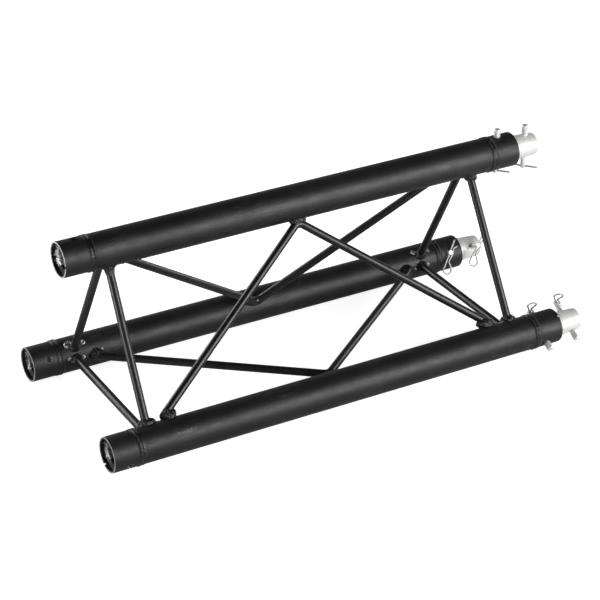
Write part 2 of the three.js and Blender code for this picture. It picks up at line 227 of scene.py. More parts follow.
def sweep(path, radius, sides=32, tip=0.35):
    """A closed round bar along a path, its ends softened over `tip`."""
    path = np.asarray(path, float)
    t, n, b = frames(path)
    th = np.arange(sides) * 2 * math.pi / sides
    rad = np.full(len(path), float(radius)) if np.isscalar(radius) else np.asarray(radius, float)
    rows = [path[:, None] + rad[:, None, None] * (np.cos(th)[None, :, None] * n[:, None] + np.sin(th)[None, :, None] * b[:, None])]
    V = rows[0]
    # rounded end rows
    def end(i, sign):
        out = []
        for k, (a, r) in enumerate(((0.45, 0.92), (0.8, 0.72), (1.0, 0.4))):
            out.append(path[i] + sign * t[i] * tip * a + (rad[i] - tip * (1 - r)) * (np.cos(th)[:, None] * n[i] + np.sin(th)[:, None] * b[i]))
        return out
    head = end(0, -1)[::-1]
    tail = end(-1, 1)
    V = np.concatenate([np.array(head), V, np.array(tail)])
    m = len(V)
    F = [tuple(q) for q in grid_faces(m, sides, False, True)]
    flat = V.reshape(-1, 3)
    k = len(flat)
    flat = np.concatenate([flat, [path[0] - t[0] * tip, path[-1] + t[-1] * tip]])
    for j in range(sides):
        q = (j + 1) % sides
        F.append((k, q, j))
        F.append((k + 1, (m - 1) * sides + j, (m - 1) * sides + q))
    return flat, F


def to_mesh(name, V, F, second=None):
    me = bpy.data.meshes.new(name)
    me.from_pydata((np.asarray(V) * MM).tolist(), [], [tuple(int(i) for i in f) for f in F])
    if second is not None:
        for i in range(second, len(me.polygons)):
            me.polygons[i].material_index = 1
    bm = bmesh.new()
    bm.from_mesh(me)
    bmesh.ops.remove_doubles(bm, verts=bm.verts, dist=1e-7)
    bmesh.ops.recalc_face_normals(bm, faces=bm.faces)
    bm.to_mesh(me)
    bm.free()
    return me


def shade(me, angle=34.0):
    """Smooth shading, with edges sharper than `angle` kept sharp."""
    bm = bmesh.new()
    bm.from_mesh(me)
    lim = math.radians(angle)
    for f in bm.faces:
        f.smooth = True
    for e in bm.edges:
        e.smooth = not (len(e.link_faces) == 2 and e.calc_face_angle(0.0) > lim)
    bm.to_mesh(me)
    bm.free()


def loose(name, V, F, second=None):
    o = bpy.data.objects.new(name, to_mesh(name, V, F, second))
    bpy.context.scene.collection.objects.link(o)
    return o


def cut(obj, *tools):
    """Cuts the tools out of obj, for good."""
    for t in tools:
        m = obj.modifiers.new("cut", "BOOLEAN")
        m.operation = "DIFFERENCE"
        m.solver = "EXACT"
        m.object = t
    bpy.context.view_layer.update()
    dg = bpy.context.evaluated_depsgraph_get()
    me = bpy.data.meshes.new_from_object(obj.evaluated_get(dg))
    obj.modifiers.clear()
    old = obj.data
    obj.data = me
    bpy.data.meshes.remove(old)
    for t in tools:
        data = t.data
        bpy.data.objects.remove(t)
        bpy.data.meshes.remove(data)
    bm = bmesh.new()
    bm.from_mesh(me)
    bmesh.ops.dissolve_degenerate(bm, dist=1e-7, edges=bm.edges)
    bm.to_mesh(me)
    bm.free()
    return obj


BODY_OF = {n: b for b, ns in frame["record"]["behaviour"]["bodies"].items() for n in ns}


def finish_piece(obj, node, *materials, angle=34.0):
    shade(obj.data, angle)
    kinds = [p.material_index for p in obj.data.polygons]
    obj.data.materials.clear()
    for m in materials:
        obj.data.materials.append(m)
    for p, k in zip(obj.data.polygons, kinds):
        p.material_index = min(k, len(materials) - 1)
    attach(obj, BODY_OF[node])
    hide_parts(node)
    return obj


def piece(node, V, F, *materials, angle=34.0, second=None):
    return finish_piece(loose(node + "_fine", V, F, second), node, *materials, angle=angle)


# ------------------------------------------------------------------- materials
class Nodes:
    """A short way to write a material's nodes. Lengths in the tree are millimetres."""

    def __init__(self, name):
        self.mat = bpy.data.materials.new(name)
        self.mat.use_nodes = True
        self.tree = self.mat.node_tree
        self.tree.nodes.clear()
        self.out = self.add("OutputMaterial")
        tc = self.add("TexCoord")
        self.P = self.vec("MULTIPLY", tc.outputs["Object"], (1000, 1000, 1000))

    def add(self, kind, **props):
        n = self.tree.nodes.new("ShaderNode" + kind)
        for k, v in props.items():
            setattr(n, k, v)
        return n

    def put(self, node, **values):
        for k, v in values.items():
            key = k.replace("_", " ")
            sock = node.inputs[int(k[1:])] if k[0] == "i" and k[1:].isdigit() else node.inputs[key]
            if isinstance(v, bpy.types.NodeSocket):
                self.tree.links.new(v, sock)
            else:
                sock.default_value = v
        return node

    def vec(self, op, a, b=None, out=0):
        n = self.add("VectorMath", operation=op)
        self.put(n, i0=a)
        if b is not None:
            if op == "SCALE":
                self.put(n, i3=b)
            else:
                self.put(n, i1=b)
        return n.outputs["Value"] if op in ("DOT_PRODUCT", "LENGTH", "DISTANCE") else n.outputs["Vector"]

    def math(self, op, a, b=None, c=None, clamp=False):
        n = self.add("Math", operation=op, use_clamp=clamp)
        self.put(n, i0=a)
        if b is not None:
            self.put(n, i1=b)
        if c is not None:
            self.put(n, i2=c)
        return n.outputs[0]

    def noise(self, scale, detail=2.0, rough=0.5, where=None, distortion=0.0):
        n = self.add("TexNoise")
        self.put(n, Vector=self.P if where is None else where, Scale=scale, Detail=detail, Roughness=rough, Distortion=distortion)
        return n.outputs[0]

    def voronoi(self, scale, where=None, feature="F1"):
        n = self.add("TexVoronoi", feature=feature)
        self.put(n, Vector=self.P if where is None else where, Scale=scale)
        return n.outputs["Distance"]

    def stretch(self, sx, sy, sz):
        return self.vec("MULTIPLY", self.P, (sx, sy, sz))

    def ramp(self, value, lo, hi, to_lo=0.0, to_hi=1.0, smooth=True):
        n = self.add("MapRange", interpolation_type="SMOOTHSTEP" if smooth else "LINEAR")
        self.put(n, i0=value, i1=lo, i2=hi, i3=to_lo, i4=to_hi)
        return n.outputs[0]

    def mix(self, fac, a, b):
        n = self.add("Mix", data_type="RGBA")
        self.put(n, i0=fac, i6=a, i7=b)
        return n.outputs[2]

    def bump(self, height, distance, strength=1.0, normal=None):
        n = self.add("Bump")
        self.put(n, Strength=strength, Distance=distance * MM, Height=height)
        if normal is not None:
            self.put(n, Normal=normal)
        return n.outputs[0]

    def bsdf(self, **values):
        n = self.add("BsdfPrincipled")
        for k, v in values.items():
            self.put(n, **{k: v})
        return n.outputs[0]

    def blend(self, fac, a, b):
        n = self.add("MixShader")
        self.put(n, i0=fac, i1=a, i2=b)
        return n.outputs[0]

    def done(self, shader):
        self.tree.links.new(shader, self.out.inputs["Surface"])
        return self.mat


COAT_DARK = (0.0034, 0.0036, 0.0039, 1)
COAT_LIGHT = (0.0068, 0.0071, 0.0077, 1)


def coat_shader(m, gloss=0.0, grain=1.0, extra_bump=None, scuff=None):
    """Satin black powder coat: fine grain over a soft orange peel, uneven sheen, dust and hair scratches."""
    grain_n = m.noise(2.6, 2.0, 0.55)
    peel = m.noise(0.55, 2.0, 0.5)
    wide = m.noise(0.03, 3.0, 0.6)
    blot = m.noise(0.16, 2.0, 0.5)
    speck = m.noise(1.35, 1.0, 0.4)
    scr = m.noise(1.0, 1.0, 0.5, where=m.stretch(0.035, 1.1, 1.1), distortion=0.6)
    scratch = m.math("MULTIPLY", m.ramp(scr, 0.715, 0.735), m.ramp(m.noise(0.05, 1.0), 0.5, 0.62))
    colour = m.mix(m.ramp(wide, 0.32, 0.7), COAT_DARK, COAT_LIGHT)
    colour = m.mix(m.math("MULTIPLY", m.ramp(speck, 0.73, 0.80), 0.55), colour, (0.055, 0.056, 0.058, 1))
    # rubbed streaks from stacking, in a few places
    rub = m.math("MULTIPLY", m.ramp(m.noise(0.9, 2.0, 0.6, where=m.stretch(0.10, 1.0, 1.0)), 0.52, 0.66), m.ramp(m.noise(0.017, 1.0), 0.54, 0.66))
    colour = m.mix(m.math("MULTIPLY", rub, 0.32), colour, (0.07, 0.07, 0.074, 1))
    colour = m.mix(m.math("MULTIPLY", scratch, 0.4), colour, (0.10, 0.10, 0.105, 1))
    if scuff is not None:
        far = m.vec("LENGTH", m.vec("MULTIPLY", m.vec("SUBTRACT", m.P, tuple(scuff)), (0.065, 0.36, 0.36)))
        mark = m.math("MULTIPLY", m.ramp(far, 0.35, 1.0, 1.0, 0.0), m.ramp(m.noise(1.5, 2.0, 0.6, where=m.stretch(0.4, 1.0, 1.0)), 0.46, 0.60))
        colour = m.mix(m.math("MULTIPLY", mark, 0.8), colour, (0.15, 0.15, 0.155, 1))
    rough = m.math("ADD", m.ramp(blot, 0.25, 0.75, 0.43 - gloss, 0.52 - gloss), m.ramp(grain_n, 0.3, 0.7, -0.04, 0.06))
    rough = m.math("ADD", rough, m.ramp(peel, 0.3, 0.7, -0.035, 0.035))
    rough = m.math("SUBTRACT", rough, m.math("MULTIPLY", scratch, 0.1))
    normal = m.bump(peel, 0.13 * grain, 0.7)
    normal = m.bump(m.noise(1.05, 1.0, 0.5), 0.16 * grain, 0.8, normal)
    normal = m.bump(grain_n, 0.07 * grain, 0.7, normal)
    if extra_bump is not None:
        normal = m.bump(extra_bump[0], extra_bump[1], 1.0, normal)
    return m.bsdf(Base_Color=colour, Roughness=rough, IOR=1.5, Specular_IOR_Level=0.42, Normal=normal)


def coat_material(name, gloss=0.0, grain=1.0, scuff=None):
    m = Nodes(name)
    return m.done(coat_shader(m, gloss, grain, scuff=scuff))


def weld_material(name):
    """The same coat run thick over a weld: glossier, with pits."""
    m = Nodes(name)
    lumps = m.noise(0.85, 3.0, 0.62, distortion=0.6)
    return m.done(coat_shader(m, 0.17, 0.6, (lumps, 0.34)))


def worn_and_glint_material(name):
    """Thin coat over a sharp edge, rubbed through to bright metal in places. On the weld crater rings the bright metal
    is also a painted highlight for their glints.
    """
    m = Nodes(name)
    worn = m.ramp(m.noise(1.1, 3.0, 0.7, distortion=0.6), 0.44, 0.52)
    return m.done(m.blend(worn, coat_shader(m, 0.13, 0.9), bare_shader(m, base=(0.62, 0.61, 0.58, 1), rough=(0.30, 0.5), metal=0.6)))


def bare_shader(m, base=(0.80, 0.80, 0.78, 1), rough=(0.30, 0.46), ring=None, ring_depth=0.004, metal=0.75, shade=0.72, lines=0.0, dings=0.03):
    """Machined metal with tool marks, blotches and small dings."""
    blot = m.noise(0.28, 3.0, 0.6)
    fine = m.noise(3.2, 2.0, 0.6)
    dark = (base[0] * shade, base[1] * shade, base[2] * shade, 1)
    colour = m.mix(m.ramp(blot, 0.30, 0.72, 0.0, 0.75), base, dark)
    if lines:
        # turning marks catch dirt: fine dark rings, broken up round the part
        n = m.add("TexNoise", noise_dimensions="1D")
        m.put(n, W=ring, Scale=1.6, Detail=3.0, Roughness=0.7)
        broken = m.math("MULTIPLY", m.ramp(n.outputs[0], 0.46, 0.70), m.ramp(m.noise(0.5, 2.0), 0.25, 0.65, 0.35, 1.0))
        colour = m.mix(m.math("MULTIPLY", broken, lines), colour, (base[0] * 0.5, base[1] * 0.5, base[2] * 0.48, 1))
    r = m.math("ADD", m.ramp(blot, 0.25, 0.75, rough[0], rough[1]), m.ramp(fine, 0.3, 0.7, -0.05, 0.05))
    normal = m.bump(fine, 0.2 * dings, 0.7)
    normal = m.bump(m.ramp(m.noise(0.8, 2.0), 0.62, 0.75), dings, 0.5, normal)
    if ring is not None:
        wav = m.math("SINE", m.math("MULTIPLY", m.math("ADD", ring, m.math("MULTIPLY", m.noise(0.35, 2.0), 0.5)), 2 * math.pi / 0.42))
        wav2 = m.math("SINE", m.math("MULTIPLY", ring, 2 * math.pi / 1.37))
        normal = m.bump(m.math("ADD", wav, m.math("MULTIPLY", wav2, 0.6)), ring_depth, 1.0, normal)
    return m.bsdf(Base_Color=colour, Metallic=metal, Roughness=r, Normal=normal)


def sleeve_material(name, chord, x, inward, pin_x, burr=0.5, socket_dark=0.0):
    """Coat outside, worn bright at the rim, the rim notch and the pin hole, and a machined
    socket inside whose first few millimetres carry black overspray."""
    m = Nodes(name)
    o = on_axis(chord, x)
    q = m.vec("SUBTRACT", m.P, tuple(o))
    s = m.vec("DOT_PRODUCT", q, (inward, 0.0, 0.0))
    rad = m.vec("LENGTH", m.vec("MULTIPLY", q, (0.0, 1.0, 1.0)))
    qp = m.vec("SUBTRACT", m.P, tuple(on_axis(chord, pin_x)))
    out = CHORDS[chord]["out"]
    hole = m.vec("LENGTH", m.vec("CROSS_PRODUCT", qp, tuple(out)))
    height = m.vec("DOT_PRODUCT", qp, tuple(out))
    hole_r = m.math("ADD", m.math("MULTIPLY", height, (PIN_BIG - PIN_SMALL) / 47.0), 3.0)
    n1 = m.noise(0.55, 2.0, 0.6)
    n2 = m.noise(1.5, 2.0, 0.6)
    n3 = m.noise(0.22, 2.0, 0.5)
    # rim face and its outer edge
    worn = m.math("ADD", m.ramp(n1, 0.3, 0.7, 0.12, 0.42), m.ramp(rad, 16.3, 16.7, 0.35, 0.0))
    rim = m.ramp(m.math("SUBTRACT", s, worn), -0.08, 0.10, 1.0, 0.0)
    # hole edge
    edge = m.ramp(m.math("SUBTRACT", m.math("SUBTRACT", hole, hole_r), m.ramp(n1, 0.35, 0.65, burr - 0.6, burr)), -0.10, 0.10, 1.0, 0.0)
    # socket
    inside = m.ramp(rad, 16.0, 16.3, 1.0, 0.0)
    # darker towards the bottom of the bore: the dark coat colour reaches further in there
    low = m.math("DIVIDE", m.vec("DOT_PRODUCT", q, (0.0, 0.25, -0.968)), m.math("MAXIMUM", rad, 1.0))
    start = m.math("ADD", m.ramp(n3, 0.3, 0.7, 3.0, 6.5), m.ramp(n1, 0.3, 0.7, -1.5, 1.5))
    start = m.math("ADD", start, m.ramp(low, 0.88, 1.0, 0.0, 11.0))
    socket = m.math("MULTIPLY", inside, m.ramp(m.math("SUBTRACT", s, start), -0.35, 0.35))
    spray = m.math("MULTIPLY", m.ramp(m.noise(0.36, 4.0, 0.72, distortion=0.8), 0.545 - 0.05 * socket_dark, 0.60 - 0.02 * socket_dark), m.ramp(s, 6.0, 24.0, 0.95, 0.6))
    socket = m.math("MULTIPLY", socket, m.math("SUBTRACT", 1.0, spray))
    # painted shade: the walls of the pin hole keep the dark coat colour so the hole reads dark, except where they are
    # worn
    hole_wall_shade = m.math("MULTIPLY", m.ramp(rad, 13.0, 13.3), m.ramp(s, 9.0, 10.0))
    socket = m.math("MULTIPLY", socket, m.math("SUBTRACT", 1.0, hole_wall_shade))
    fleck = m.ramp(n2, 0.60, 0.68, 0.0, 0.8)
    rim = m.math("MULTIPLY", rim, m.math("SUBTRACT", 1.0, m.math("MULTIPLY", fleck, 0.6)))
    bare = m.math("MAXIMUM", m.math("MAXIMUM", rim, edge), socket, clamp=True)
    # darker bare socket metal and more dark patches, set per chord
    socket_tone = tuple(v * (1 - 0.60 * socket_dark) for v in (0.80, 0.80, 0.78)) + (1,)
    return m.done(m.blend(bare, coat_shader(m), bare_shader(m, base=socket_tone, rough=(0.40, 0.54), metal=0.55, ring=s, ring_depth=0.006)))


def coupler_material(name):
    m = Nodes(name)
    s = m.vec("DOT_PRODUCT", m.P, (1.0, 0.0, 0.0))
    return m.done(bare_shader(m, base=(0.76, 0.76, 0.735, 1), rough=(0.42, 0.50), ring=s, ring_depth=0.0055, metal=0.28, shade=0.93, lines=0.75))


def steel_material(name, axis, base=(0.84, 0.845, 0.845, 1), rough=(0.27, 0.36)):
    """Dull zinc on steel, with faint drawing lines along the axis."""
    m = Nodes(name)
    s = m.vec("DOT_PRODUCT", m.P, tuple(axis))
    return m.done(bare_shader(m, base=base, rough=rough, ring=s, ring_depth=0.0008, metal=0.55, shade=0.88, dings=0.006))


def wire_material(name):
    m = Nodes(name)
    return m.done(bare_shader(m, base=(0.40, 0.40, 0.405, 1), rough=(0.30, 0.38), metal=0.5, shade=0.85, dings=0.004))


COAT = coat_material("black_powder_coat")
COAT_SCUFFED = coat_material("black_powder_coat_scuffed", scuff=on_axis("front", X0 + 75) + TUBE_R * np.array([0, -math.cos(math.radians(39)), math.sin(math.radians(39))]))
ROD_COAT = coat_material("black_powder_coat_rod", gloss=0.15, grain=0.3)
WELD = weld_material("black_powder_coat_weld")
WORN_AND_GLINT = worn_and_glint_material("worn_crater_rim_and_glint")
WIRE = wire_material("bright_zinc_wire")
ALU = coupler_material("turned_aluminium")


# ---------------------------------------------------------------------- chords
def pin_hole(chord, x, head, grow, flare=0.0):
    """A tapered cutter along the pin's axis."""
    out = CHORDS[chord]["out"]
    slope = (PIN_BIG - PIN_SMALL) / 47.0
    r = lambda h: PIN_BIG - (head - 0.5 - h) * slope + grow
    prof = [(-40, 0), (-40, r(-40))] + [(h, r(h)) for h in (-20, 20)] + [(40, r(40)), (40, 0)]
    return loose("tool_hole", *revolve(prof, on_axis(chord, x), out, X, seg=72, closed=False))


def slot_tool(chord, x, inward, direction):
    """Rim notch: 2 mm wide with a round end."""
    w, depth = 1.0, 2.2
    a = np.array([inward, 0, 0.0])
    d = unit(direction)
    t = np.cross(a, d)
    pts = [(-1.5, -w), (-1.5, w), (depth - w, w)]
    pts += [(depth - w + w * math.sin(k), w * math.cos(k)) for k in np.linspace(0, math.pi, 13)[1:-1]]
    pts += [(depth - w, -w)]
    o = on_axis(chord, x)
    ring = [[o + a * s + t * v + d * h for s, v in pts] for h in (13.0, 20.0)]
    n = len(pts)
    V = np.array(ring[0] + ring[1])
    F = [tuple(range(n)), tuple(range(2 * n - 1, n - 1, -1))] + [(i, (i + 1) % n, n + (i + 1) % n, n + i) for i in range(n)]
    return loose("tool_notch", V, F)


SLEEVE = subdivided(rounded([
    (0, 16.0, 0.45), (0, TUBE_R, 0.40), (28.9, TUBE_R, 0), (28.9, 15.7, 0.2), (46, 15.7, 0.8), (46, 9.5, 0.6),
    (31.2, 9.5, 0.5), (30.2, 11.55, 0.5), (6.5, 12.75, 0.35), (4.5, 16.1, 0.5),
]), 1.1)


def ring_weld(chord, x, seed):
    """Circumferential weld: two soft toes with a shallow trough, rippled and uneven."""
    seg, ns = 420, 34
    span = 4.3
    s = np.linspace(-span, span, ns)
    prof = [(v, 0.0) for v in s] + [(v, -1.0) for v in np.linspace(span, -span, 8)]

    def radial(S, T, R):
        half = 3.75 + 0.35 * ring_noise(T, 9, seed) + 0.2 * ring_noise(T, 26, seed + 1)
        shift = 0.45 * ring_noise(T, 5, seed + 2)
        u = (S - shift) / half
        p = np.clip(1 - u * u, 0, 1)
        body = 0.40 + 0.16 * ring_noise(T, 5, seed + 3) + 0.08 * ring_noise(T, 30, seed + 4)
        at1 = -1.95 + 0.75 * ring_noise(T, 5, seed + 5) + 0.2 * ring_noise(T, 24, seed + 6)
        at2 = 1.85 + 0.75 * ring_noise(T, 4, seed + 7) + 0.2 * ring_noise(T, 22, seed + 8)
        high1 = np.clip(0.32 + 0.45 * ring_noise(T, 4, seed + 9), 0, 0.6)
        high2 = np.clip(0.36 + 0.45 * ring_noise(T, 4, seed + 10), 0, 0.6)
        valley = np.clip(0.22 + 0.45 * ring_noise(T, 5, seed + 11), 0, 0.5) * np.exp(-((S - (at1 + at2) / 2) / 0.7) ** 2)
        phase = 52 * T + 1.3 * np.abs(S) + 0.9 * ring_noise(T, 14, seed + 12)
        ripple = 0.09 * np.abs(np.sin(phase / 2)) + 0.11 * noise(np.stack([S * 0.9, T * 9, T * 0 + seed], -1), seed + 13)
        h = (body * p ** 0.5 + high1 * np.exp(-((S - at1) / 0.75) ** 2) * (p > 0) + high2 * np.exp(-((S - at2) / 0.85) ** 2) * (p > 0)
             - valley + ripple * p ** 0.5)
        lap = -0.12 + 0 * S
        r = TUBE_R + np.where(p > 0, h, lap)
        r = np.minimum(r, 18.38)
        return np.where(R < -0.5, TUBE_R - 0.75, r)

    c = CHORDS[chord]
    return revolve(prof, on_axis(chord, x), X, c["out"], seg=seg, closed=True, radial=radial)


for ci, (c, d) in enumerate(CHORDS.items()):
    out = d["out"]
    # tube between the sleeves
    a, b = X0 + BEAD_AT + 0.1, XR - BEAD_AT - 0.1
    L = b - a
    prof = subdivided(rounded([(0, TUBE_IR, 0.1), (0, TUBE_R, 0.15), (L, TUBE_R, 0.15), (L, TUBE_IR, 0.1)]), 12)

    def sway(S, T, R, ci=ci):
        w = noise(np.stack([S * 0.012, np.cos(T) * 0.8, np.sin(T) * 0.8 + ci * 5], -1), 11 + ci)
        return np.where(R > 16.8, R + 0.035 * w, R)

    piece(f"chord_tube_{c}", *revolve(prof, on_axis(c, a), X, out, seg=180, radial=sway), COAT_SCUFFED if c == "front" else COAT)

    for end, x, inward in (("female", X0, 1.0), ("male", XR, -1.0)):
        node = f"end_sleeve_{end}_{c}"
        pin_x = x + inward * 17.0
        body = loose(node + "_fine", *revolve(SLEEVE, on_axis(c, x), np.array([inward, 0, 0]), out, seg=168))
        notch_dir = np.cross(np.array([inward, 0, 0]), out)
        cut(body, pin_hole(c, pin_x, 25.5, 0.24), slot_tool(c, x, inward, notch_dir))
        # the rear and front sockets are set darker than the top one
        finish_piece(body, node, sleeve_material(f"sleeve_{end}_{c}", c, x, inward, pin_x, burr=-0.5 if c == "top" else 0.5, socket_dark=0.4 if c == "top" else 1.0), angle=30)
        piece(f"ring_weld_{end}_{c}", *ring_weld(c, x + inward * BEAD_AT, 20 + 7 * ci + (3 if end == "male" else 0)), WELD, angle=60)

    # coupler
    h = COUPLER_HALF
    half = [(-h, 0, 0), (-h, COUPLER_END_R - 0.9, 0.25), (-h + 1.0, COUPLER_END_R, 0.3),
            (-5.4, COUPLER_R - 0.12, 0.1), (-5.1, COUPLER_R - 0.42, 0.08), (-4.5, COUPLER_R - 0.42, 0.08), (-4.2, COUPLER_R, 0.12)]
    prof = half + [(-s, r, f) for s, r, f in half[::-1]]
    prof = rounded(prof, closed=False, n=4)
    body = []
    for i in range(len(prof) - 1):
        p, q = np.array(prof[i]), np.array(prof[i + 1])
        k = max(1, int(math.ceil(np.linalg.norm(q - p) / 1.2)))
        body += [tuple(p + (q - p) * j / k) for j in range(k)]
    body.append(prof[-1])
    obj = loose(f"conical_coupler_{c}_fine", *revolve(body, on_axis(c, XR), X, out, seg=160, closed=False))
    cut(obj, pin_hole(c, XR - 17.0, 25.5, 0.24), pin_hole(c, XR + 17.0, 23.0, 0.24))
    finish_piece(obj, f"conical_coupler_{c}", ALU, angle=30)

# ------------------------------------------------------------- pins and clips
CLIP_TILT = {"inner_top": 30, "outer_top": 30, "inner_rear": 0, "outer_rear": 0, "inner_front": -10, "outer_front": -22}


def clip_path(bump):
    keys = np.array([[-17.0, -0.15], [-19.5, -0.3], [-21.7, 0.7], [-23.1, 3.2], [-22.9, 6.0], [-21.0, 8.1], [-18.2, 8.9],
                     [-15.2, 7.9], [-12.2, 5.0], [-9.3, 2.5], [-6.2, 2.75], [-3.2, bump - 0.4], [0, bump],
                     [2.9, bump - 0.55], [4.9, 2.5], [7.2, 3.2], [10, 5.2]])
    pts = np.concatenate([[2 * keys[0] - keys[1]], keys, [2 * keys[-1] - keys[-2]]])
    res = []
    for i in range(1, len(pts) - 2):
        p0, p1, p2, p3 = pts[i - 1:i + 3]
        k = [0.0]
        for a, b in ((p0, p1), (p1, p2), (p2, p3)):
            k.append(k[-1] + np.linalg.norm(b - a) ** 0.5)
        for t in np.linspace(k[1], k[2], 12, endpoint=False):
            a1 = (k[1] - t) / (k[1] - k[0]) * p0 + (t - k[0]) / (k[1] - k[0]) * p1
            a2 = (k[2] - t) / (k[2] - k[1]) * p1 + (t - k[1]) / (k[2] - k[1]) * p2
            a3 = (k[3] - t) / (k[3] - k[2]) * p2 + (t - k[2]) / (k[3] - k[2]) * p3
            b1 = (k[2] - t) / (k[2] - k[0]) * a1 + (t - k[0]) / (k[2] - k[0]) * a2
            b2 = (k[3] - t) / (k[3] - k[1]) * a2 + (t - k[1]) / (k[3] - k[1]) * a3
            res.append((k[2] - t) / (k[2] - k[1]) * b1 + (t - k[1]) / (k[2] - k[1]) * b2)
    res.append(keys[-1])
    leg = [[u, min(0.0, -0.15 * (6 - u) / 23) if u < 6 else 0.0] for u in np.linspace(LEG_TIP - 0.3, -16, 24)]
    return np.array(leg + res)


for ci, (c, d) in enumerate(CHORDS.items()):
    out, side = d["out"], d["side"]
    for wi, which in enumerate(("inner", "outer")):
        pin = f"taper_pin_{which}_{c}"
        lo, hi = box(pin)
        x = (lo[0] + hi[0]) / 2
        verts = np.array([v.co[:] for v in frame["nodes"][pin].data.vertices]) / MM
        head = ((verts - on_axis(c, x)) @ out).max()
        small = head - PIN_L
        prof = rounded([(small, 0, 0), (small, PIN_SMALL - 0.45, 0.15), (small + 0.6, PIN_SMALL, 0.25),
                        (head - 0.75, PIN_BIG, 0.3), (head - 0.02, PIN_BIG - 0.62, 0.3), (head, 0, 0)], closed=False, n=5)
        body = []
        for i in range(len(prof) - 1):
            p, q = np.array(prof[i]), np.array(prof[i + 1])
            k = max(1, int(math.ceil(np.linalg.norm(q - p) / 1.5)))
            body += [tuple(p + (q - p) * j / k) for j in range(k)]
        body.append(prof[-1])
        obj = loose(pin + "_fine", *revolve(body, on_axis(c, x), out, X, seg=72, closed=False))
        U = -unit(JOINT[f"pull_clip_{which}_{c}"]["axis"])
        hole = on_axis(c, x) + out * (small + CLIP_HOLE)
        cut(obj, loose("tool_cross", *revolve([(-6, 0), (-6, WIRE_R + 0.28), (6, WIRE_R + 0.28), (6, 0)], hole, U, out, seg=40, closed=False)))
        finish_piece(obj, pin, steel_material(f"zinc_steel_{which}_{c}", out), angle=32)

        ca, sa = U[0], U.dot(side)
        tilt = math.radians(CLIP_TILT[f"{which}_{c}"])
        flat = X * sa - side * ca
        W = flat * math.cos(tilt) - out * math.sin(tilt)
        path2 = clip_path(3.66 / math.cos(tilt) + 0.04)
        path = hole + path2[:, :1] * U + path2[:, 1:] * W
        piece(f"r_clip_{which}_{c}", *sweep(path, WIRE_R, 20, tip=0.3), WIRE, angle=50)

# ---------------------------------------------------------------------- braces
# per face: chord a, chord b, then for each rod [distance from the female joint plane, inset]
# of its two ends, and the V's foot, bend and foot
FACES = {
    "front": ("front", "top", ((45.3, 1.9, 47.8, 3.0), (450.8, 1.9, 448.2, 3.0)), (64.5, 248.0, 427.3, 2.9, 2.5)),
    "rear": ("top", "rear", ((47.5, -0.8, 45.9, 3.1), (447.1, -0.8, 449.2, 3.1)), (62.8, 247.2, 425.3, -2.6, 6.9)),
    "bottom": ("rear", "front", ((44.8, 2.7, 45.6, 2.5), (447.6, 2.7, 449.7, 2.5)), (65.5, 246.6, 429.3, 2.6, 5.4)),
}


def enter(p, d, chord, R=TUBE_R):
    """Where a line that starts inside or near a chord and runs along d leaves its surface."""
    rel = (p - on_axis(chord, 0))[..., 1:]
    dd = d[1:]
    qa = dd @ dd
    qb = 2 * (rel @ dd)
    qc = (rel * rel).sum(-1) - R * R
    disc = np.sqrt(np.maximum(qb * qb - 4 * qa * qc, 0))
    return (-qb + disc) / (2 * qa)


